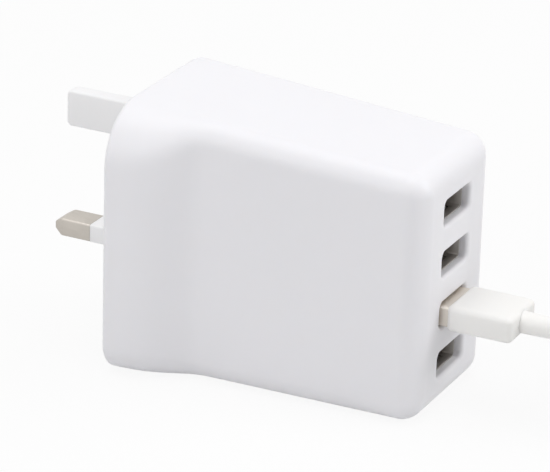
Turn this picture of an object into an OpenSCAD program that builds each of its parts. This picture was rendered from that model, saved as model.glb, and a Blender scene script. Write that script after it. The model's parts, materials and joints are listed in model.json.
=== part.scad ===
// Four port USB wall charger with three mains pins and a charging lead in its third port.
// The port face looks along -Y, the pins point along +Y, and the flat underside lies at Z = 0.

/* [Body] */
// Depth of the body from the port face to the wall face
body_depth = 69.6; // [66:0.2:80]
// Width of the port face
front_w = 35.2; // [33:0.2:42]
// Width of the flange at the wall
flange_w = 51.4; // [49:0.2:60]
// Height of the body at the wall
body_h = 59.4; // [58:0.2:70]
// Fall of the top from the wall to the port face
top_fall = 4.4; // [0:0.2:5]
// How much further each side stands out at the wall than at the port face
side_draft = 2; // [0:0.1:3]
// Depth over which the flange runs into the sides
flare_len = 20.2; // [16:0.2:24]
// Thickness of the moulded walls
wall = 2; // [1.6:0.1:2.4]

/* [Edges] */
// Radius of the flange's upper corners
flange_top_r = 12.8; // [8:0.2:16]
// Radius of the flange's lower corners
flange_low_r = 7; // [4:0.2:10]
// Radius along the upper edges of the sides
body_top_r = 4.8; // [3:0.2:6]
// Radius along the lower edges of the sides
body_low_r = 5; // [3:0.2:6]
// Radius round the port face
front_r = 5; // [3.2:0.2:6]
// Radius round the wall face
rear_r = 1.1; // [0.6:0.1:1.6]

/* [Rear cover] */
// Thickness of the rear cover
cover_t = 2.4; // [2:0.1:3.4]
// Width of the shell's rim round the rear cover
cover_rim = 1.3; // [1.2:0.1:1.5]
// Depth of the bosses that hold the pins behind the cover
boss_depth = 5; // [4:0.5:6]

/* [Mains pins] */
// Distance from the body's upper edge at the wall down to the live and neutral pins
pin_drop = 33; // [32:0.2:34]
// Length of the live and neutral pins outside the cover
pin_len = 18.2; // [17.2:0.1:18.2]
// Length of the earth pin outside the cover
earth_len = 22.23; // [22.23:0.1:23.23]
// Length of the insulating sleeves outside the cover
sleeve_len = 9.2; // [8:0.1:9.5]

/* [Ports] */
// Distance from the upper edge of the port face down to the top port's centre
top_port_drop = 10.8; // [10:0.2:12]
// Height of the lowest port's centre above the underside
low_port_z = 10; // [9:0.2:11]
// Width of the port cut-outs in the shell
port_w = 13; // [12.9:0.1:14]
// Height of the port cut-outs in the shell
port_h = 5.6; // [5.5:0.1:6]
// Corner radius of the port cut-outs
port_r = 1.2; // [0.4:0.1:1.4]
// Rounding of the edge round each port cut-out
port_lip = 0.6; // [0.3:0.1:1]

/* [Main board] */
// Gap between the main board and the contact strips behind it
board_clear = 1.9; // [1:0.1:4]
// Gap between the boards and the top of the port face inside the shell
board_headroom = 3.4; // [2:0.2:5]
// Thickness of both boards
board_t = 1.6; // [1.2:0.1:2]
// Size of the transformer's square core as a share of the board's height
core_share = 0.435; // [0.38:0.005:0.44]
// Diameter of each bulk capacitor
bulk_d = 10; // [8:0.2:10.4]
// Height of each bulk capacitor
bulk_h = 16; // [12:0.5:20]

/* [Charging lead] */
// Diameter of the cable
cable_d = 3.8; // [3.4:0.1:4]
// Width of the plug's overmould
grip_w = 13.4; // [13:0.1:15]
// Thickness of the plug's overmould
grip_t = 5.8; // [5.4:0.1:7]
// Length of the plug's overmould
grip_len = 14.2; // [13:0.1:20]
// Gap between the port face and the plug's overmould
grip_gap = 1.8; // [0.4:0.1:3]
// Length of the strain relief
relief_len = 9.6; // [6:0.1:12]
// Diameter of the coil at the middle of its turns
coil_d = 41; // [38:0.2:45]

/* [Hidden] */
$fn = 48;

// Clearances between pieces that fit together, and between parts on a board
fit_gap = 0.05;
part_gap = 0.5;
y_front = -body_depth / 2;
y_wall = body_depth / 2;
corner_steps = 8;
flare_power = 2.2;
flare_slope = 0.11;

// Standard sizes of the mains pins
pin_z = body_h - pin_drop;
pin_w = 6.35;
pin_t = 3.95;
pin_spread = 11.11;
earth_w = 4;
earth_h = 8;
earth_rise = 22.23;
tip = [0.8, 1.2, 1.9];
earth_tip = [0.5, 0.6, 0.8];
neck_w = 4.9;
neck_t = 2.7;
tail_len = 3;
contact_strip = 0.5;
cover_in_y = y_wall - cover_t;
boss_y = cover_in_y - boss_depth;
tail_y = boss_y - tail_len;
boss_margin = 2;
earth_flange = 1.6;

// Standard sizes of a USB-A port and its plug
port_count = 4;
top_port_z = body_h - top_fall - top_port_drop;
port_pitch = (top_port_z - low_port_z) / (port_count - 1);
plug_port = 2;
port_shell_w = 13.1;
port_shell_h = 5.72;
port_metal = 0.3;
port_shell_r = 0.7;
port_shell_len = 14.2;
tongue_w = 11.1;
tongue_t = 1.78;
tongue_len = 8.8;
tongue_rise = 0.11;
port_base_len = 3;
contact_w = 1.1;
contact_t = 0.16;
contact_pitch = 2.5;
plug_w = 12;
plug_h = 4.5;
plug_metal = 0.3;
plug_len = 11.8;
plug_core_t = 1.92;
plug_root = 4;
plug_contact_z = plug_metal + plug_core_t - plug_h / 2;
plug_contact_len = 9;
plug_window = [2.4, 2];
spring_len = 6;
spring_w = 2;
spring_slot = 0.4;
spring_set = 2;
spring_knee = 1.6;
port_y = y_front + wall;
port_board_y = port_y + port_shell_len;
board_z = 3.6;
board_h = body_h - top_fall - wall - board_z - board_headroom;
board_gap = 3;

// The main board stands along the left wall, and its parts face the right wall
board_side = 2.9;
board_x = wall + board_side - front_w / 2;
board_front_y = port_board_y + board_t + board_gap;
board_rear_y = tail_y - contact_strip - board_clear;
board_len = board_rear_y - board_front_y;
rail_w = 1.2;
rail_h = 1.2;
port_board_w = 2 * (rail_w + part_gap - board_x);
slot_rib = 1.6;
sheet_t = 0.3;
strip_h = 4;
lead_in = 2.5;
part_margin = rail_h + 0.3;
link_pin = 0.64;
link_pitch = 2.54;
link_count = 4;
port_can_d = 5;
port_can_h = 5.4;
controller_size = 5;

// Parts on the main board: width along the body first, then height above the board
chip_w = 3.2;
chip_len = 5;
chip_t = 1.6;
coupler_len = 6.5;
coupler_t = 3.4;
output_d = 8;
output_h = 12;
safety_d = 8;
safety_t = 2.2;
fuse_d = 5;
fuse_len = 8;
film_t = 4.6;
film_h = 11;
choke_d = 9;
choke_in_d = 4;
choke_h = 5;
choke_wire = 0.9;

// Row of parts above the transformer: rectifier, heat sink and transistor
top_row_h = 0.195 * board_h;
top_row_z = board_z + board_h - part_margin - top_row_h;
bridge_t = 2.6;
bridge_h = 8;
sink_t = 1.4;
sink_h = 15;
sink_hole = 3;
switch_t = 2.8;
switch_h = 9.4;

// The transformer stands midway between the bulk capacitors and the top row
core_size = core_share * board_h;
core_depth = 0.6 * core_size;
core_leg = 0.17 * core_size;
core_centre = 0.32 * core_size;
core_window = (core_size - 2 * core_leg - core_centre) / 2;
core_lift = core_window + 2 * fit_gap;
core_y = board_front_y + chip_w + 3 * part_gap + core_size / 2;
core_z = (board_z + part_margin + bulk_d + top_row_z) / 2;
core_rear_y = core_y + core_size / 2;
bobbin_t = 0.7;
winding_gap = 0.3;

// The lead's plug points into the port, and its cable leaves along -Y
plug_z = top_port_z - plug_port * port_pitch;
grip_front_y = y_front - grip_gap;
grip_back_y = grip_front_y - grip_len;
relief_end_y = grip_back_y - relief_len;
plug_tip_y = grip_front_y + plug_len;
grip_r = 1;
relief_root_d = 4.8;
relief_tip_d = 4.4;
tie_t = 0.6;
tie_w = 5;
coil_rows = 4;
coil_centre = [22.4, -87];
coil_in_r = coil_d / 2 - cable_d;
coil_out_r = coil_d / 2 + cable_d;
coil_low_z = tie_t;
coil_top_z = coil_low_z + coil_rows * cable_d;
cable_points = [
    [0, -60.4, 21.4], [0, -63, 21.4], [0, -67, 20.9], [0, -71, 19.6], [0, -75, 17.9], [0, -78, 16.5]
];
tail_points = [[44.8, -80, 2.5], [44.8, -78, 2.6], [44.8, -76, 2.7], [44.8, -73.5, 2.7]];
end_grip_w = 10.6;
end_grip_t = 5.4;
end_grip_len = 17;
end_grip_r = 1.5;
end_relief_len = 6;
end_shell_w = 8.3;
end_shell_t = 2.5;
end_shell_len = 6.6;
end_metal = 0.3;
end_root = 3;
end_mouth = end_relief_len + end_grip_len;
end_tongue_w = 5.6;
end_tongue_t = 0.7;
end_x = 44.8;
end_y = -73.5;

// Share of the flange that is left at a depth: 1 at the wall, 0 where the sides run straight
function flare(y) =
    let (u = min(max((y_wall - y) / flare_len, 0), 1))
    0.5 * (1 + cos(180 * pow(u, flare_power))) * (1 - flare_slope * u);
function side_w(y) = front_w / 2 + side_draft * (y - y_front) / body_depth;
function half_w(y) = side_w(y) + (flange_w / 2 - side_w(y_wall)) * flare(y);
function top_z(y) = body_h - top_fall * (y_wall - y) / body_depth;
function top_r(y) = body_top_r + (flange_top_r - body_top_r) * flare(y);
function low_r(y) = body_low_r + (flange_low_r - body_low_r) * flare(y);
function corner(x, z, r, start) =
    [for (i = [0:corner_steps]) [x + r * cos(start + 90 * i / corner_steps),
                                 z + r * sin(start + 90 * i / corner_steps)]];

// Outline of the body across one depth, drawn inwards by the inset
function section(y, inset) =
    let (
        w = half_w(y) - inset,
        t = top_z(y) - inset,
        rt = max(top_r(y) - inset, 0.6),
        rl = max(low_r(y) - inset, 0.6)
    )
    concat(
        corner(w - rt, t - rt, rt, 0), corner(-w + rt, t - rt, rt, 90),
        corner(-w + rl, inset + rl, rl, 180), corner(w - rl, inset + rl, rl, 270)
    );

// Rows of depth and inset, from the port face to the wall, for the outer or the inner surface
function front_rows(r, inset, step) =
    [for (a = [90:-step:0]) [y_front + inset + r * (1 - sin(a)), inset + r * (1 - cos(a))]];
function flare_rows(end, inset, steps) =
    [for (i = [0:steps]) let (start = y_wall - flare_len) [start + (end - start) * i / steps, inset]];
function rear_rows(r) = [for (a = [30:30:90]) [y_wall - r * (1 - sin(a)), r * (1 - cos(a))]];

// Closed skin through rings of points, all with the same number of points
module skin(rings) {
    n = len(rings[0]);
    last = len(rings) - 1;
    sides = [for (i = [0:last - 1], j = [0:n - 1]) let (a = i * n + j, b = i * n + (j + 1) % n)
        each [[a, b, b + n], [a, b + n, a + n]]];
    polyhedron(
        points = [for (ring = rings) each ring],
        faces = concat([[for (j = [n - 1:-1:0]) j]], sides, [[for (j = [0:n - 1]) last * n + j]]),
        convexity = 8
    );
}

module loft(rows) {
    skin([for (row = rows) [for (p = section(row[0], row[1])) [p[0], row[0], p[1]]]]);
}

module outer_body() {
    loft(concat(front_rows(front_r, 0, 15), flare_rows(y_wall - rear_r, 0, 14), rear_rows(rear_r)));
}

module inner_space() {
    loft(concat(front_rows(front_r - wall, wall, 30), flare_rows(y_wall - 0.2, wall, 12)));
}

// Extrudes a drawing of the XZ plane along +Y from one depth to another
module along_y(from, to) {
    translate([0, to, 0])
        rotate([90, 0, 0])
            linear_extrude(to - from)
                children();
}

// Box given by its lowest and highest corners
module span(low, high) {
    translate(low)
        cube(high - low);
}

module rounded_box_outline(w, h, r) {
    square([w - 2 * r, h], center = true);
    square([w, h - 2 * r], center = true);
    for (sx = [-1, 1], sz = [-1, 1])
        translate([sx * (w / 2 - r), sz * (h / 2 - r)])
            circle(r);
}

function port_z(i) = top_port_z - i * port_pitch;

// Ribs that hold the two boards, cut to the shell's inner surface
module board_ribs() {
    intersection() {
        loft(concat(front_rows(front_r - wall / 2, wall / 2, 30), flare_rows(y_wall - 0.2, wall / 2, 12)));
        union() {
            for (side = [-1, 1], y = [port_board_y - fit_gap - slot_rib, port_board_y + board_t + fit_gap])
                span(
                    [side > 0 ? port_board_w / 2 - rail_w : -half_w(y), y, board_z],
                    [side > 0 ? half_w(y) : rail_w - port_board_w / 2, y + slot_rib, board_z + board_h]
                );
            for (x = [board_x + fit_gap, board_x - board_t - sheet_t - 3 * fit_gap - rail_w])
                for (z = [[0, board_z + rail_h], [board_z + board_h - rail_h, body_h]])
                    span([x, board_front_y + 2, z[0]], [x + rail_w, board_rear_y - 2, z[1]]);
            span([board_x - board_t - sheet_t, board_front_y + 2, 0],
                 [board_x, board_rear_y - 2, board_z - fit_gap]);
        }
    }
}

// Outline of a port cut-out at one depth, grown outwards on every side
function port_ring(y, grow) =
    let (w = port_w / 2 - port_r, h = port_h / 2 - port_r, r = port_r + grow)
    [for (c = [[w, h, 0], [-w, h, 90], [-w, -h, 180], [w, -h, 270]])
        each [for (p = corner(c[0], c[1], r, c[2])) [p[0], y, p[1]]]];

// Cut-out for one port, with the edge at the port face rounded off
module port_cut() {
    skin(concat(
        [port_ring(y_front - 1, port_lip)],
        [for (a = [0:22.5:90]) port_ring(y_front + port_lip * (1 - cos(a)), port_lip * (1 - sin(a)))],
        [port_ring(port_y + 1, 0)]
    ));
}

module main_shell() {
    color("white")
        difference() {
            union() {
                difference() {
                    outer_body();
                    inner_space();
                }
                board_ribs();
            }
            along_y(cover_in_y, y_wall + 1)
                polygon(section(y_wall, cover_rim));
            for (i = [0:port_count - 1])
                translate([0, 0, port_z(i)])
                    port_cut();
        }
}

// Places for the live pin on the right and the neutral pin on the left
module at_pin(side) {
    translate([side * pin_spread, 0, pin_z])
        children();
}

module rear_cover() {
    color("whitesmoke")
        difference() {
            union() {
                along_y(cover_in_y, y_wall)
                    polygon(section(y_wall, cover_rim + fit_gap));
                for (side = [-1, 1])
                    at_pin(side)
                        along_y(boss_y, cover_in_y)
                            square([pin_w + 2 * boss_margin, pin_t + 2 * boss_margin], center = true);
                translate([0, 0, pin_z + earth_rise])
                    along_y(boss_y, cover_in_y)
                        square([earth_w + 4 * boss_margin, earth_h + 2 * boss_margin], center = true);
            }
            for (side = [-1, 1])
                at_pin(side) {
                    along_y(cover_in_y, y_wall + 1)
                        square([pin_w + 2 * fit_gap, pin_t + 2 * fit_gap], center = true);
                    along_y(boss_y - 1, cover_in_y + 1)
                        square([neck_w + 2 * fit_gap, neck_t + 2 * fit_gap], center = true);
                }
            translate([0, 0, pin_z + earth_rise])
                along_y(boss_y - 1, y_wall + 1)
                    square([earth_w + 2 * fit_gap, earth_h + 2 * fit_gap], center = true);
        }
}

// Flat pin along +Y. Its tip is bevelled by [width off each side, height off each face, length]
module pin_blade(w, h, from, to, bevel) {
    intersection() {
        translate([0, 0, -h / 2])
            linear_extrude(h)
                polygon([[-w / 2, from], [w / 2, from], [w / 2, to - bevel[2]], [w / 2 - bevel[0], to],
                         [bevel[0] - w / 2, to], [-w / 2, to - bevel[2]]]);
        rotate([90, 0, 90])
            translate([0, 0, -w / 2])
                linear_extrude(w)
                    polygon([[from, -h / 2], [to - bevel[2], -h / 2], [to, bevel[1] - h / 2],
                             [to, h / 2 - bevel[1]], [to - bevel[2], h / 2], [from, h / 2]]);
    }
}

module earth_pin() {
    color("white")
        translate([0, 0, pin_z + earth_rise])
            union() {
                pin_blade(earth_w, earth_h, boss_y, y_wall + earth_len, earth_tip);
                along_y(boss_y - earth_flange, boss_y)
                    square([earth_w + 2 * boss_margin, earth_h + boss_margin], center = true);
            }
}

module mains_pin(side) {
    color("silver")
        at_pin(side)
            union() {
                pin_blade(pin_w, pin_t, y_wall + sleeve_len + fit_gap, y_wall + pin_len, tip);
                along_y(tail_y, y_wall + sleeve_len + 1)
                    square([neck_w, neck_t], center = true);
            }
}

module live_pin() {
    mains_pin(1);
}

module neutral_pin() {
    mains_pin(-1);
}

module pin_sleeve(side) {
    color("white")
        at_pin(side)
            along_y(cover_in_y + fit_gap, y_wall + sleeve_len)
                difference() {
                    square([pin_w, pin_t], center = true);
                    square([neck_w + 2 * fit_gap, neck_t + 2 * fit_gap], center = true);
                }
}

module live_sleeve() {
    pin_sleeve(1);
}

module neutral_sleeve() {
    pin_sleeve(-1);
}

// Brass strip that is pressed against a pin's tail and lies on the main board
module contact_strip_to_board(side, top, low) {
    strip_y = tail_y - contact_strip;
    color("goldenrod")
        union() {
            span([side * pin_spread - strip_h / 2, strip_y, pin_z - strip_h / 2],
                 [side * pin_spread + strip_h / 2, tail_y, top]);
            span([board_x, strip_y, low], [side * pin_spread, tail_y, top]);
            span([board_x, board_rear_y - lead_in, low], [board_x + contact_strip, tail_y, top]);
        }
}

module live_contact() {
    contact_strip_to_board(1, pin_z + 2 * strip_h, pin_z + 1.5 * strip_h);
}

module neutral_contact() {
    contact_strip_to_board(-1, pin_z + strip_h / 2, pin_z - strip_h / 2);
}

module main_board() {
    color("darkgreen")
        difference() {
            span([board_x - board_t, board_front_y, board_z], [board_x, board_rear_y, board_z + board_h]);
            span([board_x - board_t - 1, core_y - 0.7, core_z + core_size / 2 + 1],
                 [board_x + 1, core_y + 0.7, core_z + core_size / 2 + 5]);
        }
}

module insulating_sheet() {
    color("beige")
        span([board_x - board_t - fit_gap - sheet_t, board_front_y + 1, board_z],
             [board_x - board_t - fit_gap, board_rear_y - 1, board_z + board_h - 1]);
}

// Puts a part with its foot at Z = 0 onto the main board's face, at a distance behind and above its corner
module on_board(y, z) {
    translate([board_x, board_front_y + y, board_z + z])
        rotate([0, 90, 0])
            children();
}

module round_capacitor(d, h) {
    difference() {
        cylinder(d = d, h = h);
        translate([0, 0, 1.4])
            rotate_extrude()
                translate([d / 2, 0])
                    circle(0.35);
        translate([0, 0, h - 0.3])
            for (a = [0, 60, 120])
                rotate([0, 0, a])
                    cube([0.7 * d, 0.4, 1], center = true);
    }
}

module bulk_capacitors() {
    color("dimgray")
        for (y = [board_len - part_gap - bulk_d / 2, board_len - 2 * part_gap - 1.5 * bulk_d])
            on_board(y, part_margin + bulk_d / 2)
                round_capacitor(bulk_d, bulk_h);
}

module output_capacitors() {
    color("silver")
        for (z = [part_margin + output_d / 2, board_h - part_margin - output_d / 2])
            on_board(part_gap + output_d / 2, z)
                round_capacitor(output_d, output_h);
}

module mains_fuse() {
    color("saddlebrown")
        translate([0, core_rear_y - board_front_y, part_margin + bulk_d])
            on_board(part_gap + fuse_d / 2, part_gap + fuse_d / 2)
                cylinder(d = fuse_d, h = fuse_len);
}

// Place of the choke at the board's upper rear corner, its ring one wire above the board
module at_choke() {
    reach = choke_d / 2 + choke_wire;
    on_board(board_len - part_gap - reach, board_h - part_margin - reach)
        translate([0, 0, choke_wire + fit_gap])
            children();
}

module line_choke_core() {
    color("darkslategray")
        at_choke()
            difference() {
                cylinder(d = choke_d, h = choke_h);
                translate([0, 0, -1])
                    cylinder(d = choke_in_d, h = choke_h + 2);
            }
}

// Two windings, each a hundred degrees of a channel that wraps the ring
module line_choke_winding() {
    ring_w = (choke_d - choke_in_d) / 2;
    color("chocolate")
        at_choke()
            for (start = [-50, 130])
                rotate([0, 0, start])
                    rotate_extrude(angle = 100)
                        difference() {
                            translate([choke_in_d / 2 - choke_wire, -choke_wire])
                                square([ring_w + 2 * choke_wire, choke_h + 2 * choke_wire]);
                            translate([choke_in_d / 2 - fit_gap, -fit_gap])
                                square([ring_w + 2 * fit_gap, choke_h + 2 * fit_gap]);
                        }
}

// Film capacitor between the fuse and the choke
module mains_capacitor() {
    front_y = core_rear_y + part_gap;
    low_z = board_z + part_margin + bulk_d + fuse_d + 2 * part_gap;
    top_z = board_z + board_h - part_margin - choke_d - 2 * choke_wire - part_gap;
    color("gold")
        span([board_x, front_y, low_z], [board_x + film_h, front_y + film_t, top_z]);
}

module bridge_rectifier() {
    color("black")
        span([board_x, core_y + switch_t + part_gap, top_row_z],
             [board_x + bridge_h, core_y + switch_t + part_gap + bridge_t, top_row_z + top_row_h]);
}

module heat_sink() {
    color("silver")
        difference() {
            span([board_x, core_y - sink_t, top_row_z], [board_x + sink_h, core_y, top_row_z + top_row_h]);
            translate([board_x + sink_h - sink_hole, core_y + 1, top_row_z + top_row_h / 2])
                rotate([90, 0, 0])
                    cylinder(d = sink_hole, h = sink_t + 2);
        }
}

// Lies against the heat sink
module switching_transistor() {
    color("black")
        span([board_x + 1, core_y, top_row_z + fit_gap],
             [board_x + 1 + switch_h, core_y + switch_t, top_row_z + top_row_h - fit_gap]);
}

module safety_capacitor() {
    color("royalblue")
        translate([0, board_front_y + output_d + 2 * part_gap, 0])
            translate([board_x + safety_d / 2, 0, board_z + part_margin + safety_d / 2])
                rotate([-90, 0, 0])
                    cylinder(d = safety_d, h = safety_t);
}

// Flat part on the main board in front of the transformer, from one height to another
module front_chip(from, to, thick) {
    front_y = board_front_y + part_gap;
    color("black")
        span([board_x, front_y, from], [board_x + thick, front_y + chip_w, to]);
}

module optocoupler() {
    front_chip(core_z - part_gap - coupler_len, core_z - part_gap, coupler_t);
}

module rectifier_chip() {
    front_chip(core_z + part_gap, core_z + part_gap + chip_len, chip_t);
}

// Outline of the transformer's core seen from the right, with its two windows
module core_outline() {
    difference() {
        square(core_size, center = true);
        for (side = [-1, 1])
            translate([side * (core_centre + core_window) / 2, 0])
                square([core_window, core_size - 2 * core_leg], center = true);
    }
}

module transformer_core() {
    color("dimgray")
        translate([board_x + core_lift, core_y, core_z])
            rotate([90, 0, 90])
                linear_extrude(core_depth)
                    core_outline();
}

// Sleeve round the core's centre leg, drawn by its wall's inner offset and its thickness
module leg_sleeve(offset_in, thick, height) {
    inner = [core_depth + 2 * offset_in, core_centre + 2 * offset_in];
    translate([board_x + core_lift + core_depth / 2, core_y, core_z - height / 2])
        linear_extrude(height)
            difference() {
                square([inner[0] + 2 * thick, inner[1] + 2 * thick], center = true);
                square(inner, center = true);
            }
}

module transformer_bobbin() {
    bobbin_h = core_size - 2 * core_leg - 2 * fit_gap;
    color("black")
        union() {
            leg_sleeve(fit_gap, bobbin_t, bobbin_h);
            for (side = [-1, 1])
                translate([0, 0, side * (bobbin_h - bobbin_t) / 2])
                    leg_sleeve(fit_gap, core_window - 2 * fit_gap, bobbin_t);
        }
}

module transformer_winding() {
    color("gold")
        leg_sleeve(
            bobbin_t + 2 * fit_gap,
            core_window - bobbin_t - 2 * fit_gap - winding_gap,
            core_size - 2 * core_leg - 2 * bobbin_t - 4 * fit_gap
        );
}

module port_board() {
    color("darkgreen")
        span([-port_board_w / 2, port_board_y, board_z],
             [port_board_w / 2, port_board_y + board_t, board_z + board_h]);
}

module port_controller() {
    low_z = core_z - controller_size / 2;
    color("black")
        span([0, port_board_y + board_t, low_z],
             [controller_size, port_board_y + board_t + 1, low_z + controller_size]);
}

module port_capacitors() {
    can_x = port_board_w / 2 - rail_w - part_gap - port_can_d / 2;
    color("silver")
        for (i = [0:port_count - 1])
            translate([can_x, port_board_y + board_t, port_z(i)])
                rotate([-90, 0, 0])
                    round_capacitor(port_can_d, port_can_h);
}

module board_link_pins() {
    low_z = core_z - link_count * link_pitch;
    color("gold")
        for (i = [0:link_count - 1])
            span([board_x, port_board_y + board_t, low_z + link_pitch * i],
                 [board_x + link_pin, board_front_y + part_gap, low_z + link_pitch * i + link_pin]);
}

module at_port(i) {
    translate([0, 0, port_z(i)])
        children();
}

// Metal shell of one port, open at the front. Two springs above and two below are cut free on three
// sides and bent a little way in
module port_shell(i) {
    in_w = port_shell_w - 2 * port_metal;
    in_h = port_shell_h - 2 * port_metal;
    spring_in = (in_h - plug_h) / 2 - fit_gap;
    slot_w = spring_w + 2 * spring_slot;
    spring_y = port_y + spring_set;
    color("silver")
        at_port(i)
            union() {
                difference() {
                    along_y(port_y, port_board_y)
                        difference() {
                            rounded_box_outline(port_shell_w, port_shell_h, port_shell_r);
                            rounded_box_outline(in_w, in_h, port_shell_r - port_metal);
                        }
                    for (sx = [-1, 1])
                        span([sx * in_w / 4 - slot_w / 2, spring_y, -port_shell_h],
                             [sx * in_w / 4 + slot_w / 2, spring_y + spring_len, port_shell_h]);
                }
                for (sx = [-1, 1], sz = [0, 1])
                    mirror([0, 0, sz])
                        translate([sx * in_w / 4 - spring_w / 2, spring_y, in_h / 2])
                            rotate([90, 0, 90])
                                linear_extrude(spring_w)
                                    spring_outline(spring_in);
            }
}

// Side view of one spring: fixed at its inner end, bent in towards the plug, with its lip turned out
module spring_outline(bend) {
    root = spring_len + fit_gap;
    start = spring_len - spring_slot;
    polygon([[root, 0], [root, port_metal], [start, port_metal], [spring_knee, port_metal - bend],
             [spring_slot, port_metal], [spring_slot, 0], [spring_knee, -bend], [start, 0]]);
}

module port_shell_1() {
    port_shell(0);
}

module port_shell_2() {
    port_shell(1);
}

module port_shell_3() {
    port_shell(2);
}

module port_shell_4() {
    port_shell(3);
}

// Plastic block at the back of one port and the tongue that carries its contacts
module port_tongue(i) {
    base_y = port_board_y - port_base_len;
    base_w = port_shell_w - 2 * port_metal - 2 * fit_gap;
    base_h = port_shell_h - 2 * port_metal - 2 * fit_gap;
    color("black")
        at_port(i)
            difference() {
                union() {
                    along_y(base_y, port_board_y)
                        rounded_box_outline(base_w, base_h, port_shell_r - port_metal);
                    span([-tongue_w / 2, base_y - tongue_len, tongue_rise],
                         [tongue_w / 2, base_y + 1, tongue_rise + tongue_t]);
                }
                contact_rows(base_y - tongue_len + 1, base_y, tongue_rise - 1, tongue_rise + contact_t, 0);
            }
}

// Four strips side by side, standing in by the given amount on every side
module contact_rows(from, to, low, high, inset) {
    for (k = [-1.5:1:1.5])
        span([k * contact_pitch - contact_w / 2 + inset, from + inset, low],
             [k * contact_pitch + contact_w / 2 - inset, to - inset, high]);
}

module port_tongue_1() {
    port_tongue(0);
}

module port_tongue_2() {
    port_tongue(1);
}

module port_tongue_3() {
    port_tongue(2);
}

module port_tongue_4() {
    port_tongue(3);
}

module port_contacts() {
    base_y = port_board_y - port_base_len;
    color("gold")
        for (i = [0:port_count - 1])
            at_port(i)
                contact_rows(base_y - tongue_len + 1, base_y, tongue_rise, tongue_rise + contact_t,
                             fit_gap);
}

// Metal shell of the plug, with the two square windows above and below
module plug_shell() {
    color("silver")
        translate([0, 0, plug_z])
            difference() {
                along_y(grip_front_y - plug_root, plug_tip_y)
                    difference() {
                        rounded_box_outline(plug_w, plug_h, 0.5);
                        square([plug_w - 2 * plug_metal, plug_h - 2 * plug_metal], center = true);
                    }
                for (side = [-1, 1])
                    translate([side * plug_w / 4, plug_tip_y - plug_len / 2, 0])
                        cube([plug_window[0], plug_window[1], plug_h + 2], center = true);
            }
}

module plug_core() {
    x = plug_w / 2 - plug_metal - fit_gap;
    low_z = plug_metal + fit_gap - plug_h / 2;
    color("white")
        translate([0, 0, plug_z])
            difference() {
                span([-x, grip_front_y - plug_root, low_z], [x, plug_tip_y - part_gap, plug_contact_z]);
                plug_contact_rows(plug_contact_z - contact_t, 1, 0);
            }
}

module plug_contact_rows(low, high, inset) {
    contact_rows(plug_tip_y - plug_contact_len, plug_tip_y - 3 * part_gap, low, high, inset);
}

module plug_contacts() {
    color("gold")
        translate([0, 0, plug_z])
            plug_contact_rows(plug_contact_z - contact_t, plug_contact_z, fit_gap);
}

// Block along Y with every edge rounded
module soft_block(w, t, from, to, r) {
    hull()
        for (sx = [-1, 1], sz = [-1, 1], y = [from + r, to - r])
            translate([sx * (w / 2 - r), y, sz * (t / 2 - r)])
                rotate([90, 0, 0])
                    sphere(r, $fn = 24);
}

// Soft moulded grip with rounded edges, hollow where the metal shell goes in, with its strain relief
module plug_overmould() {
    color("white")
        translate([0, 0, plug_z])
            difference() {
                union() {
                    soft_block(grip_w, grip_t, grip_back_y, grip_front_y, grip_r);
                    translate([0, grip_back_y + 2 * grip_r, 0])
                        rotate([90, 22.5, 0])
                            cylinder(d1 = relief_root_d, d2 = relief_tip_d, h = relief_len + 2 * grip_r);
                }
                along_y(grip_front_y - plug_root - fit_gap, grip_front_y + 1)
                    rounded_box_outline(plug_w + 2 * fit_gap, plug_h + 2 * fit_gap, 0.5);
            }
}

// Tube of one diameter along a list of points, one ring of eight corners at each
module tube(points, d) {
    sides = 8;
    last = len(points) - 1;
    function heading(i) = points[min(i + 1, last)] - points[max(i - 1, 0)];
    function across(i) = let (n = cross(heading(i), [1, 0, 0])) n / norm(n);
    rings = [for (i = [0:last]) [for (k = [0:sides - 1])
        points[i] + d / 2 * (cos(360 * k / sides) * [1, 0, 0] + sin(360 * k / sides) * across(i))]];
    polyhedron(
        points = [for (ring = rings) each ring],
        faces = concat(
            [[for (k = [0:sides - 1]) k]],
            [for (i = [0:last - 1], k = [0:sides - 1])
                let (a = i * sides + k, b = i * sides + (k + 1) % sides)
                each [[a, b + sides, b], [a, a + sides, b + sides]]],
            [[for (k = [sides - 1:-1:0]) last * sides + k]]
        )
    );
}

module lead_cable() {
    color("white")
        tube(cable_points, cable_d);
}

module lead_tail() {
    color("white")
        tube(tail_points, cable_d);
}

module lead_coil() {
    color("white")
        translate([coil_centre[0], coil_centre[1], 0])
            rotate_extrude()
                translate([coil_in_r, coil_low_z])
                    square([coil_out_r - coil_in_r, coil_top_z - coil_low_z]);
}

// Band round the coil's bundle, on the side away from the body
module coil_tie() {
    clear = 0.3;
    color("dimgray")
        translate([coil_centre[0], coil_centre[1], 0])
            difference() {
                span([-tie_w / 2, -coil_out_r - clear - tie_t, 0],
                     [tie_w / 2, -coil_in_r + clear + tie_t, coil_top_z + fit_gap + tie_t]);
                span([-tie_w, -coil_out_r - clear, tie_t - fit_gap],
                     [tie_w, -coil_in_r + clear, coil_top_z + fit_gap]);
            }
}

// Far connector, which lies on the surface beside the coil
module at_end() {
    translate([end_x, end_y, end_grip_t / 2])
        children();
}

module end_overmould() {
    color("white")
        at_end()
            difference() {
                union() {
                    soft_block(end_grip_w, end_grip_t, end_relief_len, end_mouth, end_grip_r);
                    rotate([-90, 0, 0])
                        cylinder(d1 = relief_tip_d, d2 = relief_root_d, h = end_relief_len + end_grip_r);
                }
                along_y(end_mouth - end_root - fit_gap, end_mouth + 1)
                    long_hole_outline(end_shell_w + 2 * fit_gap, end_shell_t + 2 * fit_gap);
            }
}

// Slot shape with round ends
module long_hole_outline(w, h) {
    rounded_box_outline(w, h, h / 2 - fit_gap / 5);
}

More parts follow.
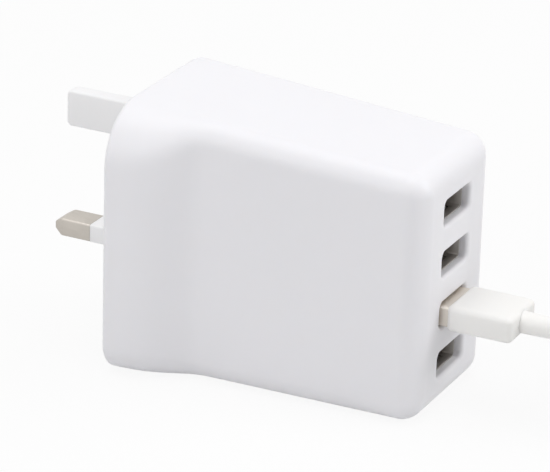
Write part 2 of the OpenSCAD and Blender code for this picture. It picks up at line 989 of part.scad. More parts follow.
module end_shell() {
    color("silver")
        at_end()
            along_y(end_mouth - end_root, end_mouth + end_shell_len)
                difference() {
                    long_hole_outline(end_shell_w, end_shell_t);
                    long_hole_outline(end_shell_w - 2 * end_metal, end_shell_t - 2 * end_metal);
                }
}

module end_tongue() {
    x = end_shell_w / 2 - 1;
    z = end_shell_t / 2 - end_metal - fit_gap;
    color("black")
        at_end()
            union() {
                span([-x, end_mouth - end_root, -z], [x, end_mouth + 1, z]);
                span([-end_tongue_w / 2, end_mouth, -end_tongue_t / 2],
                     [end_tongue_w / 2, end_mouth + end_shell_len - 1, end_tongue_t / 2]);
            }
}

main_shell();
rear_cover();
earth_pin();
live_pin();
neutral_pin();
live_sleeve();
neutral_sleeve();
live_contact();
neutral_contact();
main_board();
insulating_sheet();
mains_fuse();
line_choke_core();
line_choke_winding();
mains_capacitor();
bridge_rectifier();
bulk_capacitors();
switching_transistor();
heat_sink();
transformer_core();
transformer_bobbin();
transformer_winding();
safety_capacitor();
optocoupler();
rectifier_chip();
output_capacitors();
port_board();
port_controller();
port_capacitors();
board_link_pins();
port_shell_1();
port_shell_2();
port_shell_3();
port_shell_4();
port_tongue_1();
port_tongue_2();
port_tongue_3();
port_tongue_4();
port_contacts();
plug_shell();
plug_core();
plug_contacts();
plug_overmould();
lead_cable();
lead_coil();
coil_tie();
lead_tail();
end_overmould();
end_shell();
end_tongue();
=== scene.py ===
import bpy
import bmesh
import json
import math
from mathutils import Matrix, Vector


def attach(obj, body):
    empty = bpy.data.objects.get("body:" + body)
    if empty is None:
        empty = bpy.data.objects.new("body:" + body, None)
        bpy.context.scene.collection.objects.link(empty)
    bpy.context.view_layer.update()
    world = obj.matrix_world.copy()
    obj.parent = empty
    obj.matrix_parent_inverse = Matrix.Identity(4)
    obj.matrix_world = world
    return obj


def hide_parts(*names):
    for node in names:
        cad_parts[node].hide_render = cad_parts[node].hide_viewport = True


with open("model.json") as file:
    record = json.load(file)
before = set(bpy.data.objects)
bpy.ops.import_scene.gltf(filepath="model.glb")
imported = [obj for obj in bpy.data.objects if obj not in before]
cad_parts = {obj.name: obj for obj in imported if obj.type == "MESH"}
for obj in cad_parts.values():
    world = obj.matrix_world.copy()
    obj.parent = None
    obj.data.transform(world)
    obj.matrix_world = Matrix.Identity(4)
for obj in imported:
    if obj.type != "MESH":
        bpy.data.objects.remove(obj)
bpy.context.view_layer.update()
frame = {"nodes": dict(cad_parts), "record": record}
print("frame loaded,", len(frame["nodes"]), "nodes")

mm = 0.001  # sizes are in millimetres where no note says otherwise


# camera: the view of the photograph, fitted to its edges
camera = {
    "azimuth": 25.88,  # degrees from the charger's side towards its port face
    "elevation": 22.57,
    "roll": 1.74,
    "distance": 0.7558,
    "aim": (0, 0.00695, 0.0285),
    "focal": 3554,  # in pixels of the frame's width
    "frameWidth": 550,
    "sensor": 36,
    "nearest": 0.01,
}


def makeCamera(s):
    a, e, r = (math.radians(s[k]) for k in ("azimuth", "elevation", "roll"))
    look = Vector((math.cos(a) * math.cos(e), math.sin(a) * math.cos(e), -math.sin(e)))
    level = Vector((math.sin(a), -math.cos(a), 0))
    upright = level.cross(look)
    across = math.cos(r) * level + math.sin(r) * upright
    up = math.cos(r) * upright - math.sin(r) * level
    data = bpy.data.cameras.new("camera")
    data.sensor_width = s["sensor"]
    data.sensor_fit = "HORIZONTAL"
    data.lens = s["focal"] / s["frameWidth"] * s["sensor"]
    data.clip_start = s["nearest"]
    cam = bpy.data.objects.new("camera", data)
    bpy.context.collection.objects.link(cam)
    place = Matrix((across, up, -look)).transposed().to_4x4()
    place.translation = Vector(s["aim"]) - s["distance"] * look
    cam.matrix_world = place
    bpy.context.scene.camera = cam


makeCamera(camera)
print("camera placed")


# materials: each is built from nodes that read object coordinates
def newMaterial(name):
    mat = bpy.data.materials.new(name)
    mat.use_nodes = True
    tree = mat.node_tree
    return mat, tree, tree.nodes["Principled BSDF"]


def addNoise(tree, scale, detail, stretch=(1, 1, 1)):
    place = tree.nodes.new("ShaderNodeTexCoord")
    mapping = tree.nodes.new("ShaderNodeMapping")
    mapping.inputs["Scale"].default_value = stretch
    tree.links.new(place.outputs["Object"], mapping.inputs["Vector"])
    noise = tree.nodes.new("ShaderNodeTexNoise")
    noise.inputs["Scale"].default_value = scale
    noise.inputs["Detail"].default_value = detail
    tree.links.new(mapping.outputs["Vector"], noise.inputs["Vector"])
    return noise.outputs["Fac"]


# most of the noise lies between 0.3 and 0.7
def addRange(tree, value, low, high):
    span = tree.nodes.new("ShaderNodeMapRange")
    for socket, number in (("From Min", 0.3), ("From Max", 0.7), ("To Min", low), ("To Max", high)):
        span.inputs[socket].default_value = number
    tree.links.new(value, span.inputs["Value"])
    return span.outputs["Result"]


# two tones that drift into each other over the piece
def addTones(tree, shader, scale, detail, colour, shade):
    mix = tree.nodes.new("ShaderNodeMix")
    mix.data_type = "RGBA"
    # sockets 6 and 7 take the two colours, and output 2 gives the mixed one
    mix.inputs[6].default_value = (*colour, 1)
    mix.inputs[7].default_value = (*shade, 1)
    tree.links.new(addRange(tree, addNoise(tree, scale, detail), 0, 1), mix.inputs[0])
    tree.links.new(mix.outputs[2], shader.inputs["Base Color"])


def addBump(tree, shader, height, depth):
    bump = tree.nodes.new("ShaderNodeBump")
    bump.inputs["Distance"].default_value = depth
    tree.links.new(height, bump.inputs["Height"])
    tree.links.new(bump.outputs["Normal"], shader.inputs["Normal"])


plasticLook = {
    "toneScale": 22,
    "spread": 0.05,  # of the roughness, up and down
    "insideReach": 0.0009,  # how far light goes in before it comes out again, in metres
    "insideTint": (1, 0.95, 0.9),
}
metalLook = {
    "toneScale": 160,
    "smoother": 0.07,
    "rougher": 0.08,
}


# inside is the share of the light that goes a little way in
def plastic(name, colour, shade, roughness, grain=900, depth=0.00001, gloss=0.5, inside=0.0):
    mat, tree, shader = newMaterial(name)
    addTones(tree, shader, plasticLook["toneScale"], 2, colour, shade)
    fine = addNoise(tree, grain, 4)
    low, high = roughness - plasticLook["spread"], roughness + plasticLook["spread"]
    tree.links.new(addRange(tree, fine, low, high), shader.inputs["Roughness"])
    shader.inputs["Specular IOR Level"].default_value = gloss
    shader.inputs["Subsurface Weight"].default_value = inside
    shader.inputs["Subsurface Radius"].default_value = plasticLook["insideTint"]
    shader.inputs["Subsurface Scale"].default_value = plasticLook["insideReach"]
    addBump(tree, shader, fine, depth)
    return mat


def metal(name, colour, shade, roughness, stretch=(1, 1, 1), streaks=1400, depth=0.000006):
    mat, tree, shader = newMaterial(name)
    addTones(tree, shader, metalLook["toneScale"], 3, colour, shade)
    fine = addNoise(tree, streaks, 4, stretch)
    low, high = roughness - metalLook["smoother"], roughness + metalLook["rougher"]
    tree.links.new(addRange(tree, fine, low, high), shader.inputs["Roughness"])
    shader.inputs["Metallic"].default_value = 1
    addBump(tree, shader, fine, depth)
    return mat


print("material makers ready")


# shared shapes: rings of points, joined by the bmesh operators
def newPiece(name, bm, mat, node):
    bmesh.ops.recalc_face_normals(bm, faces=bm.faces)
    mesh = bpy.data.meshes.new(name)
    bm.to_mesh(mesh)
    bm.free()
    piece = bpy.data.objects.new(name, mesh)
    bpy.context.collection.objects.link(piece)
    mesh.materials.append(mat)
    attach(piece, "root")
    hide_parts(node)
    return piece


# edges that bend by less than the angle, in degrees, are shaded as one surface
def shadeSmooth(bm, angle):
    for face in bm.faces:
        face.smooth = True
    for edge in bm.edges:
        edge.smooth = len(edge.link_faces) == 2 and edge.calc_face_angle() < math.radians(angle)


def addRing(bm, points):
    verts = [bm.verts.new(p) for p in points]
    return [bm.edges.new((verts[i], verts[(i + 1) % len(verts)])) for i in range(len(verts))]


def bridge(bm, first, second):
    bmesh.ops.bridge_loops(bm, edges=first + second)


def bridgeAll(bm, rings):
    for first, second in zip(rings, rings[1:]):
        bridge(bm, first, second)


def roundEdges(bm, edges, width, segments):
    bmesh.ops.bevel(bm, geom=edges, offset=width, offset_type="OFFSET", affect="EDGES",
                    segments=segments, profile=0.5, material=-1, clamp_overlap=True)


# angles of a quarter turn, both ends included
def quarterTurn(steps):
    return [math.radians(90 * i / steps) for i in range(steps + 1)]


# even steps from one value to another, both ends included
def between(start, end, steps):
    return [start + (end - start) * i / steps for i in range(steps + 1)]


# points of a rounded rectangle about the origin
def roundedRect(w, h, r, steps):
    points = []
    for sx, sz, start in ((1, 1, 0), (-1, 1, 90), (-1, -1, 180), (1, -1, 270)):
        for turn in quarterTurn(steps):
            a = math.radians(start) + turn
            points.append((sx * (w / 2 - r) + r * math.cos(a), sz * (h / 2 - r) + r * math.sin(a)))
    return points


# box between two corners with its edges rounded
def roundedBlock(bm, low, high, radius, segments):
    made = bmesh.ops.create_cube(bm, size=1)
    bmesh.ops.scale(bm, vec=high - low, verts=made["verts"])
    bmesh.ops.translate(bm, vec=(low + high) / 2, verts=made["verts"])
    sides = {e for v in made["verts"] for e in v.link_edges}
    roundEdges(bm, list(sides), radius, segments)


softening = {
    "merge": 0.003,  # points nearer than this are one
    "flat": 1,  # degrees up to which two faces are one
    "sharp": 25,  # degrees from which an edge is rounded
    "smooth": 35,
    "least": 0.001,  # edges shorter than this are taken out
    "jointGap": 0.1,  # how near the plane of a joint counts as in it
}


# copy of a solid, merged into whole faces, with its sharp edges rounded but those in the plane of a joint
def softenedCopy(name, node, width, mat, segments=2, joint=None):
    s = softening
    bm = bmesh.new()
    bm.from_mesh(frame["nodes"][node].data)
    bmesh.ops.remove_doubles(bm, verts=bm.verts, dist=s["merge"] * mm)
    bmesh.ops.dissolve_limit(bm, angle_limit=math.radians(s["flat"]), verts=bm.verts, edges=bm.edges)
    limit = math.radians(s["sharp"])
    sharp = [e for e in bm.edges if len(e.link_faces) == 2 and e.calc_face_angle() > limit]
    if joint is not None:
        sharp = [e for e in sharp if max(abs(v.co.y - joint) for v in e.verts) > s["jointGap"] * mm]
    roundEdges(bm, sharp, width * mm, segments)
    bmesh.ops.dissolve_degenerate(bm, dist=s["least"] * mm, edges=bm.edges)
    shadeSmooth(bm, s["smooth"])
    return newPiece(name, bm, mat, node)


# charging lead: straight out of its strain relief, then down onto a neat coil beside the charger
lead = {
    "finish": {"colour": (0.885, 0.877, 0.860), "shade": (0.875, 0.866, 0.848), "roughness": 0.45,
               "grain": 1200, "gloss": 0.45, "inside": 0.25},
    "diameter": 3.8,
    "length": 1.013,
    # from the strain relief down to the coil
    "down": [(0, -60.4, 21.4), (0, -63, 21.4), (0, -67, 20.9), (0, -71, 19.6), (0, -75, 17.9),
             (0, -79, 16), (0, -83, 14.5)],
    # from the coil into the far connector
    "tail": [(44.8, -84, 2.5), (44.8, -80, 2.5), (44.8, -76, 2.65), (44.8, -73.5, 2.7)],
    "coilCentre": (22.4, -87),
    "outerR": 22.4,
    "innerR": 18.6,
    "lowestTurn": 2.5,
    "rowPitch": 3.8,
    "turns": 7.5,
    "stepsPerTurn": 24,
    "crossFrom": 4,  # degrees at which the last turn starts to change place
    "crossStep": 24,  # by which each turn above it starts later
    "crossSpan": 26,  # over which a turn changes place
}


# half a turn on top, then seven turns that change place one after another, so that none overlap
def coilPath(s):
    outer, inner = s["outerR"], s["innerR"]
    rows = [s["lowestTurn"] + s["rowPitch"] * i for i in (3, 2, 1, 0)]
    places = [(outer, rows[0]), (inner, rows[0]), (inner, rows[1]), (outer, rows[1]),
              (outer, rows[2]), (inner, rows[2]), (inner, rows[3]), (outer, rows[3])]
    last = len(places) - 1
    points = []
    for k in range(int(s["stepsPerTurn"] * s["turns"]) + 1):
        turn, angle = divmod(360 * k / s["stepsPerTurn"] + 180, 360)
        turn = int(turn)
        if turn == 0:
            r, z = places[0]
        elif turn > last:
            r, z = places[last]
        else:
            start = s["crossFrom"] + (last - turn) * s["crossStep"]
            u = min(max((angle - start) / s["crossSpan"], 0), 1)
            u = u * u * (3 - 2 * u)
            a, b = places[turn - 1], places[turn]
            r, z = a[0] + (b[0] - a[0]) * u, a[1] + (b[1] - a[1]) * u
        phi = math.radians(angle)
        points.append((s["coilCentre"][0] + r * math.cos(phi), s["coilCentre"][1] + r * math.sin(phi), z))
    return points


def makeLead(s, mat):
    route = s["down"] + coilPath(s) + s["tail"]
    curve = bpy.data.curves.new("chargingLead", "CURVE")
    curve.dimensions = "3D"
    curve.bevel_depth = s["diameter"] / 2 * mm
    curve.bevel_resolution = 5
    curve.resolution_u = 3
    curve.use_fill_caps = True
    spline = curve.splines.new("BEZIER")
    spline.bezier_points.add(len(route) - 1)
    for point, place in zip(spline.bezier_points, route):
        point.co = Vector(place) * mm
        point.handle_left_type = point.handle_right_type = "AUTO"
    piece = bpy.data.objects.new("chargingLead", curve)
    bpy.context.collection.objects.link(piece)
    curve.materials.append(mat)
    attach(piece, "root")
    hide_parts("lead_cable", "lead_coil", "lead_tail")
    return piece


leadPlastic = plastic("leadPlastic", **lead["finish"])
chargingLead = makeLead(lead, leadPlastic)
print("lead laid")


# moulded body: the same outline as the solid, in finer rows
body = {
    "finish": {"colour": (0.857, 0.851, 0.880), "shade": (0.849, 0.844, 0.872), "roughness": 0.42,
               "grain": 700, "depth": 0.000008, "gloss": 0.45, "inside": 0.35},
    "depth": 69.6,
    "frontW": 35.2,
    "flangeW": 51.4,
    "height": 59.4,
    "topFall": 4.4,  # by how much the top is lower at the port face
    "draft": 2,
    "flareLen": 20.2,
    "flareBend": 2.2,
    "softLen": 22,
    "softBend": 1.42,
    "flareFall": 0.11,
    "flangeTopR": 12.8,
    "flangeLowR": 7,
    "topR": 4.8,
    "lowR": 5,
    "leastR": 0.6,
    "frontR": 5,
    "faceEdge": 0.2,  # flat strip between the front rounding and the port face
    "rearR": 1.1,
    "wall": 2,
    "rim": 1.3,
    "coverT": 2.4,
    "cornerSteps": 20,
    "flareSteps": 44,
    "straightSteps": 6,
    "frontSteps": 14,
    "rearSteps": 6,
    "innerSteps": 12,
    "innerFrontSteps": 6,
    "smooth": 34,  # degrees
}
ports = {
    "heights": (44.2, 32.8, 21.4, 10.0),
    "w": 13,
    "h": 5.6,
    "r": 1.2,
    "lip": 0.9,
    "steps": 8,
}
yFront = -body["depth"] / 2
yWall = body["depth"] / 2


# how far the flange stands out: 1 at the wall, 0 where the flare has run out
# the outside runs out more softly than the inner skin
def flareAt(y, soft):
    u = min((yWall - y) / body["softLen" if soft else "flareLen"], 1)
    if soft:
        t = u ** body["softBend"]
        share = 1 - t ** 3 * (10 - 15 * t + 6 * t * t)
    else:
        share = 0.5 * (1 + math.cos(math.pi * u ** body["flareBend"]))
    return share * (1 - body["flareFall"] * u)


def sideW(y):
    return body["frontW"] / 2 + body["draft"] * (y - yFront) / body["depth"]


# outline of the body across one depth, drawn inwards by the inset
def section(y, inset):
    share = flareAt(y, inset < body["rim"])
    w = sideW(y) + (body["flangeW"] / 2 - sideW(yWall)) * share - inset
    top = body["height"] - body["topFall"] * (yWall - y) / body["depth"] - inset
    rt = max(body["topR"] + (body["flangeTopR"] - body["topR"]) * share - inset, body["leastR"])
    rl = max(body["lowR"] + (body["flangeLowR"] - body["lowR"]) * share - inset, body["leastR"])
    points = []
    for x, z, r, start in ((w - rt, top - rt, rt, 0), (-w + rt, top - rt, rt, 90),
                           (-w + rl, inset + rl, rl, 180), (w - rl, inset + rl, rl, 270)):
        for turn in quarterTurn(body["cornerSteps"]):
            a = math.radians(start) + turn
            points.append(Vector((x + r * math.cos(a), y, z + r * math.sin(a))) * mm)
    return points


def frontRows(r, inset, steps):
    return [(yFront + inset + r * (1 - math.sin(a)), inset + r * (1 - math.cos(a)))
            for a in reversed(quarterTurn(steps))]


def loftRows(bm, rows):
    rings = [addRing(bm, section(y, inset)) for y, inset in rows]
    bridgeAll(bm, rings)
    return rings[0], rings[-1]


def portRing(bm, z, grow, y):
    outline = roundedRect(ports["w"] + 2 * grow, ports["h"] + 2 * grow, ports["r"] + grow, ports["steps"])
    return addRing(bm, [Vector((x, y, z + dz)) * mm for x, dz in outline])


def makeBody(s, mat):
    start = yWall - s["softLen"]
    end = yWall - s["rearR"]
    face = [(yFront, s["frontR"] + s["faceEdge"])]
    straight = [(y, 0) for y in between(yFront + s["frontR"], start, s["straightSteps"])[1:-1]]
    flareRows = [(y, 0) for y in between(start, end, s["flareSteps"])]
    rearRows = [(yWall - s["rearR"] * (1 - math.sin(a)), s["rearR"] * (1 - math.cos(a)))
                for a in quarterTurn(s["rearSteps"])[1:]]
    bm = bmesh.new()
    outer = face + frontRows(s["frontR"], 0, s["frontSteps"]) + straight + flareRows + rearRows
    faceRing, rimRing = loftRows(bm, outer)
    # the rim steps in for the rear cover, and the inner skin runs back to the port face
    seat = loftRows(bm, [(yWall, s["rim"]), (yWall - s["coverT"], s["rim"])])
    bridge(bm, rimRing, seat[0])
    innerRows = frontRows(s["frontR"] - s["wall"], s["wall"], s["innerFrontSteps"])
    innerRows += [(y, s["wall"]) for y in between(start, yWall - s["coverT"], s["innerSteps"])]
    innerFace, innerEnd = loftRows(bm, innerRows)
    bridge(bm, seat[1], innerEnd)
    # ports: a small rounded lip, then the straight walls of the cut-out
    outside, inside = [], []
    lip = ports["lip"]
    for z in ports["heights"]:
        rings = [portRing(bm, z, lip * (1 - math.sin(a)), yFront + lip * (1 - math.cos(a)))
                 for a in quarterTurn(ports["steps"])]
        rings.append(portRing(bm, z, 0, yFront + s["wall"]))
        bridgeAll(bm, rings)
        outside += rings[0]
        inside += rings[-1]
    bmesh.ops.triangle_fill(bm, use_beauty=True, use_dissolve=False, edges=faceRing + outside)
    bmesh.ops.triangle_fill(bm, use_beauty=True, use_dissolve=False, edges=innerFace + inside)
    shadeSmooth(bm, s["smooth"])
    return newPiece("mouldedBody", bm, mat, "main_shell")


shellPlastic = plastic("shellPlastic", **body["finish"])
mouldedBody = makeBody(body, shellPlastic)
print("body moulded:", len(mouldedBody.data.polygons), "faces")


# rear cover with its seam, and the three pins
pins = {
    "coverFinish": {"colour": (0.84, 0.84, 0.845), "shade": (0.83, 0.83, 0.835), "roughness": 0.5,
                    "grain": 1500, "depth": 0.00002},
    "pinFinish": {"colour": (0.90, 0.896, 0.906), "shade": (0.89, 0.886, 0.896), "roughness": 0.4,
                  "depth": 0.000006, "gloss": 0.45, "inside": 0.2},
    "metalFinish": {"colour": (0.555, 0.518, 0.472), "shade": (0.515, 0.482, 0.44), "roughness": 0.48,
                    "stretch": (1, 0.15, 1), "streaks": 1800},
    "earthEdge": 0.7,
    "metalEdge": 0.4,
    "sleeveEdge": 0.4,
    "coverEdge": 0.2,
}
coverPlastic = plastic("coverPlastic", **pins["coverFinish"])
pinPlastic = plastic("pinPlastic", **pins["pinFinish"])
platedBrass = metal("platedBrass", **pins["metalFinish"])
softenedCopy("rearCover", "rear_cover", pins["coverEdge"], coverPlastic)
softenedCopy("earthPin", "earth_pin", pins["earthEdge"], pinPlastic, 6)
for side in ("live", "neutral"):
    # metal and sleeve stay flush where they meet
    joint = max(corner[1] for corner in frame["nodes"][side + "_sleeve"].bound_box)
    softenedCopy(side + "Pin", side + "_pin", pins["metalEdge"], platedBrass, 4, joint)
    softenedCopy(side + "Sleeve", side + "_sleeve", pins["sleeveEdge"], pinPlastic, 4, joint)
print("pins and rear cover made")


# ports: steel shells, tongues and contacts behind the cut-outs
portParts = {
    "shellFinish": {"colour": (0.52, 0.495, 0.47), "shade": (0.46, 0.44, 0.42), "roughness": 0.42,
                    "stretch": (1, 0.2, 1), "streaks": 1500},
    "tongueFinish": {"colour": (0.105, 0.099, 0.094), "shade": (0.12, 0.113, 0.107), "roughness": 0.55,
                     "grain": 1500, "depth": 0.000012},
    "contactFinish": {"colour": (0.80, 0.58, 0.26), "shade": (0.74, 0.53, 0.24), "roughness": 0.28},
    "shellEdge": 0.1,
    "tongueEdge": 0.12,
}
portSteel = metal("portSteel", **portParts["shellFinish"])
tonguePlastic = plastic("tonguePlastic", **portParts["tongueFinish"])
goldContact = metal("goldContact", **portParts["contactFinish"])
shellEdge, tongueEdge = portParts["shellEdge"], portParts["tongueEdge"]
for i in (1, 2, 3, 4):
    softenedCopy(f"portShell{i}", f"port_shell_{i}", shellEdge, portSteel)
    softenedCopy(f"portTongue{i}", f"port_tongue_{i}", tongueEdge, tonguePlastic)
print("ports made")


# plug of the lead and the connector on its far end: metal shell, white grip and strain relief
plug = {
    "finish": {"colour": (0.74, 0.69, 0.62), "shade": (0.70, 0.655, 0.59), "roughness": 0.38,
               "stretch": (1, 0.2, 1), "streaks": 1500},
    "x": 0,
    "z": 21.4,
    "front": -36.1,
    "back": -50.8,
    "tip": -60.4,
    "w": 13.4,
    "t": 5.8,
    "edge": 1.3,
    "edgeSteps": 8,
    "shellEdge": 0.08,
}
farEnd = {
    "x": 44.8,
    "z": 2.7,
    "front": -50.5,
    "back": -67.5,
    "tip": -73.5,
    "w": 10.6,
    "t": 5.4,
    "edge": 1.5,
    "edgeSteps": 8,
    "shellEdge": 0.06,
}
relief = {
    "rootR": 2.4,
    "tipR": 2.2,
    "blend": 0.25,
    "lip": 0.3,
    "lap": 0.1,  # how far the end closes in over the cable
    "sides": 48,
    "blendSteps": 8,
    "lipSteps": 4,
    "rows": 12,
    "smooth": 40,  # degrees
}


# tapered sleeve round the cable: it grows out of the grip in a small hollow curve and ends in a rounded lip
def addRelief(bm, x, z, root, tip):
    s = relief
    span = tip - root
    rows = []
    for a in quarterTurn(s["blendSteps"]):
        along = math.copysign(s["blend"] * (1 - math.cos(a)), span)
        rows.append((root + along, s["rootR"] + s["blend"] * (1 - math.sin(a))))
    # the first rows would lie inside the hollow curve
    for u in range(3, s["rows"]):
        share = u / s["rows"]
        rows.append((root + span * share, s["rootR"] + (s["tipR"] - s["rootR"]) * share))
    for a in quarterTurn(s["lipSteps"]):
        back = math.copysign(s["lip"] * (1 - math.sin(a)), span)
        rows.append((tip - back, s["tipR"] - s["lip"] * (1 - math.cos(a))))
    rows.append((tip, lead["diameter"] / 2 - s["lap"]))
    turns = [math.tau * k / s["sides"] for k in range(s["sides"])]
    rings = [addRing(bm, [Vector((x + r * math.cos(t), y, z + r * math.sin(t))) * mm for t in turns])
             for y, r in rows]
    bridgeAll(bm, rings)
    for ends in (rings[0], rings[-1]):
        bmesh.ops.edgeloop_fill(bm, edges=ends)


def makeGrip(name, s, mat, node):
    bm = bmesh.new()
    low = Vector((s["x"] - s["w"] / 2, s["back"], s["z"] - s["t"] / 2)) * mm
    high = Vector((s["x"] + s["w"] / 2, s["front"], s["z"] + s["t"] / 2)) * mm
    roundedBlock(bm, low, high, s["edge"] * mm, s["edgeSteps"])
    # the relief starts as deep in the grip as its rounded edge falls away
    rise = relief["rootR"] + relief["blend"] - (s["t"] / 2 - s["edge"])
    depth = s["edge"] - math.sqrt(s["edge"] ** 2 - rise ** 2)
    addRelief(bm, s["x"], s["z"], s["back"] + depth, s["tip"])
    shadeSmooth(bm, relief["smooth"])
    return newPiece(name, bm, mat, node)


plugMetal = metal("plugMetal", **plug["finish"])
plugShell = softenedCopy("plugShell", "plug_shell", plug["shellEdge"], plugMetal)
plugGrip = makeGrip("plugGrip", plug, leadPlastic, "plug_overmould")
endGrip = makeGrip("endGrip", farEnd, leadPlastic, "end_overmould")
endShell = softenedCopy("endShell", "end_shell", farEnd["shellEdge"], plugMetal)
print("plug and far connector made")


# strap that follows the bundle, with its loose end folded over
tie = {
    "finish": {"colour": (0.80, 0.80, 0.79), "shade": (0.70, 0.70, 0.69), "roughness": 0.8,
               "grain": 2600, "depth": 0.00012},
    "r": 2.3,  # corners of the strap round the bundle
    "thick": 0.6,
    "edge": 0.2,
    "flap": 6,  # length of the loose end that lies on top
    "flapT": 0.45,
    "flapInset": 0.1,
    "flapEdge": 0.18,
    "cornerSteps": 10,
    "edgeSteps": 4,
    "smooth": 40,  # degrees
}


def makeTie(s, mat):
    corners = [Vector(c) for c in frame["nodes"]["coil_tie"].bound_box]
    low = [min(c[i] for c in corners) / mm for i in range(3)]
    high = [max(c[i] for c in corners) / mm for i in range(3)]
    y, z = (low[1] + high[1]) / 2, (low[2] + high[2]) / 2
    rows = [(low[0], s["thick"])]
    for a in quarterTurn(s["edgeSteps"]):
        rows.append((low[0] + s["edge"] * (1 - math.cos(a)), s["edge"] * (1 - math.sin(a))))
    rows += [(low[0] + high[0] - x, inset) for x, inset in reversed(rows)]
    bm = bmesh.new()
    rings = []
    for x, inset in rows:
        w, h = high[1] - low[1] - 2 * inset, high[2] - low[2] - 2 * inset
        outline = roundedRect(w, h, s["r"] - inset, s["cornerSteps"])
        rings.append(addRing(bm, [Vector((x, y + dy, z + dz)) * mm for dy, dz in outline]))
    bridgeAll(bm, rings + rings[:1])
    flapLow = Vector((low[0] + s["flapInset"], y - s["flap"] / 2, high[2] - s["flapInset"])) * mm
    flapHigh = Vector((high[0] - s["flapInset"], y + s["flap"] / 2, high[2] + s["flapT"])) * mm
    roundedBlock(bm, flapLow, flapHigh, s["flapEdge"] * mm, s["edgeSteps"])
    shadeSmooth(bm, s["smooth"])
    return newPiece("coilTie", bm, mat, "coil_tie")


tieWeave = plastic("tieWeave", **tie["finish"])
coilTie = makeTie(tie, tieWeave)
print("tie made")


# what the housing hides keeps its solids, each with its own finish
innerFinish = {
    "board_laminate": plastic("boardLaminate", (0.02, 0.12, 0.05), (0.03, 0.15, 0.06), 0.4),
    "insulating_paper": plastic("insulatingPaper", (0.62, 0.55, 0.38), (0.58, 0.51, 0.35), 0.8, 1500,
                                0.00002),
    "brown_ceramic": plastic("brownCeramic", (0.20, 0.11, 0.06), (0.23, 0.13, 0.07), 0.35),
    "ferrite": plastic("ferrite", (0.03, 0.03, 0.033), (0.045, 0.045, 0.05), 0.6, 1800, 0.00002),
    "copper_wire": metal("copperWire", (0.60, 0.28, 0.12), (0.52, 0.24, 0.10), 0.3, (6, 1, 1), 900, 0.00005),
    "yellow_plastic": plastic("yellowPlastic", (0.72, 0.50, 0.05), (0.68, 0.47, 0.05), 0.35),
    "black_plastic": tonguePlastic,
    "blue_ceramic": plastic("blueCeramic", (0.02, 0.07, 0.32), (0.03, 0.08, 0.36), 0.3),
    "capacitor_can": metal("capacitorCan", (0.62, 0.62, 0.64), (0.58, 0.58, 0.60), 0.35),
    "dark_can": plastic("darkCan", (0.02, 0.02, 0.03), (0.03, 0.03, 0.04), 0.3),
    "sink_metal": metal("sinkMetal", (0.60, 0.61, 0.62), (0.55, 0.56, 0.57), 0.4, (1, 0.1, 1)),
    "white_core": plastic("whiteCore", (0.78, 0.78, 0.76), (0.75, 0.75, 0.73), 0.45),
    "contact_metal": goldContact,
    "port_metal": portSteel,
    "plug_metal": plugMetal,
    "pin_metal": platedBrass,
    "pin_plastic": pinPlastic,
    "cover_plastic": coverPlastic,
    "shell_plastic": shellPlastic,
    "lead_plastic": leadPlastic,
    "tie_fabric": tieWeave,
}
for part in frame["record"]["subparts"]:
    piece = frame["nodes"][part["node"]]
    piece.data.materials.clear()
    piece.data.materials.append(innerFinish[part["material_slot"]])
print("finishes given to the solids")


# stage: pale floor and soft studio light
stage = {
    "floor": 0.80,
    "floorSize": 6,
    "seenWhite": 0.9,  # how far the floor is lifted to white where the camera or a reflection sees it
    "world": 0.40,
    "lampAim": (0, 0, 0.03),
    # each lamp: where it hangs in metres, how wide it is, how many watts
    "sideLamp": ((-1.00, 0.20, 0.60), 0.7, 2.6),
    "frontLamp": ((0.50, -1.00, 0.62), 0.7, 5.4),
    "topLamp": ((-0.10, 0.10, 1.20), 1.2, 7.4),
}


# 1 where the camera or a reflection looks, 0 for the light that falls on things
def addSeenShare(tree):
    rays = tree.nodes.new("ShaderNodeLightPath")
    share = rays.outputs["Is Camera Ray"]
    for kind in ("Is Glossy Ray", "Is Transmission Ray"):
        either = tree.nodes.new("ShaderNodeMath")
        either.operation = "MAXIMUM"
        tree.links.new(share, either.inputs[0])
        tree.links.new(rays.outputs[kind], either.inputs[1])
        share = either.outputs[0]
    return share


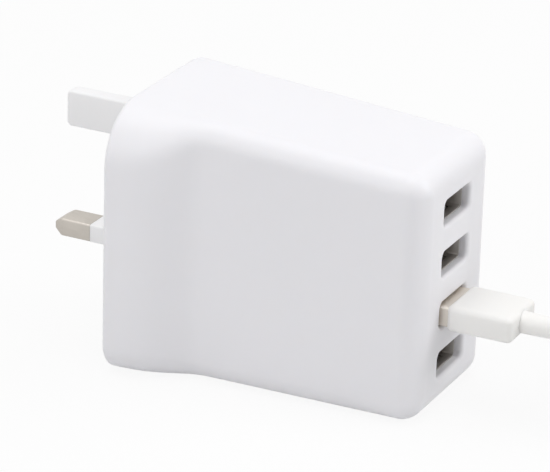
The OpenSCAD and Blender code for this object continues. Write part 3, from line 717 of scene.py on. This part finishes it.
def makeFloor(s):
    bm = bmesh.new()
    bmesh.ops.create_grid(bm, x_segments=1, y_segments=1, size=s["floorSize"])
    mesh = bpy.data.meshes.new("floor")
    bm.to_mesh(mesh)
    bm.free()
    floor = bpy.data.objects.new("floor", mesh)
    bpy.context.collection.objects.link(floor)
    mat, tree, shader = newMaterial("floorPaint")
    shader.inputs["Base Color"].default_value = (s["floor"], s["floor"], s["floor"], 1)
    shader.inputs["Roughness"].default_value = 0.9
    shader.inputs["Specular IOR Level"].default_value = 0
    white = tree.nodes.new("ShaderNodeEmission")
    white.inputs["Strength"].default_value = 1
    share = tree.nodes.new("ShaderNodeMath")
    share.operation = "MULTIPLY"
    share.inputs[1].default_value = s["seenWhite"]
    mix = tree.nodes.new("ShaderNodeMixShader")
    tree.links.new(addSeenShare(tree), share.inputs[0])
    tree.links.new(share.outputs[0], mix.inputs[0])
    tree.links.new(shader.outputs[0], mix.inputs[1])
    tree.links.new(white.outputs[0], mix.inputs[2])
    tree.links.new(mix.outputs[0], tree.nodes["Material Output"].inputs[0])
    mesh.materials.append(mat)


def makeLamp(name, place, size, power):
    data = bpy.data.lights.new(name, "AREA")
    data.shape = "DISK"
    data.size = size
    data.energy = power
    lamp = bpy.data.objects.new(name, data)
    bpy.context.collection.objects.link(lamp)
    lamp.location = place
    lamp.rotation_euler = (Vector(place) - Vector(stage["lampAim"])).to_track_quat("Z", "Y").to_euler()


def makeWorld(s):
    world = bpy.data.worlds.new("studio")
    world.use_nodes = True
    tree = world.node_tree
    back = tree.nodes["Background"]
    back.inputs["Color"].default_value = (1, 1, 1, 1)
    back.inputs["Strength"].default_value = s["world"]
    seen = tree.nodes.new("ShaderNodeBackground")
    seen.inputs["Color"].default_value = (1, 1, 1, 1)
    seen.inputs["Strength"].default_value = 1
    mix = tree.nodes.new("ShaderNodeMixShader")
    tree.links.new(addSeenShare(tree), mix.inputs[0])
    tree.links.new(back.outputs[0], mix.inputs[1])
    tree.links.new(seen.outputs[0], mix.inputs[2])
    tree.links.new(mix.outputs[0], tree.nodes["World Output"].inputs[0])
    bpy.context.scene.world = world


makeFloor(stage)
makeWorld(stage)
for name in ("sideLamp", "frontLamp", "topLamp"):
    makeLamp(name, *stage[name])
bpy.context.scene.view_settings.view_transform = "Standard"
print("floor, lamps and world set")
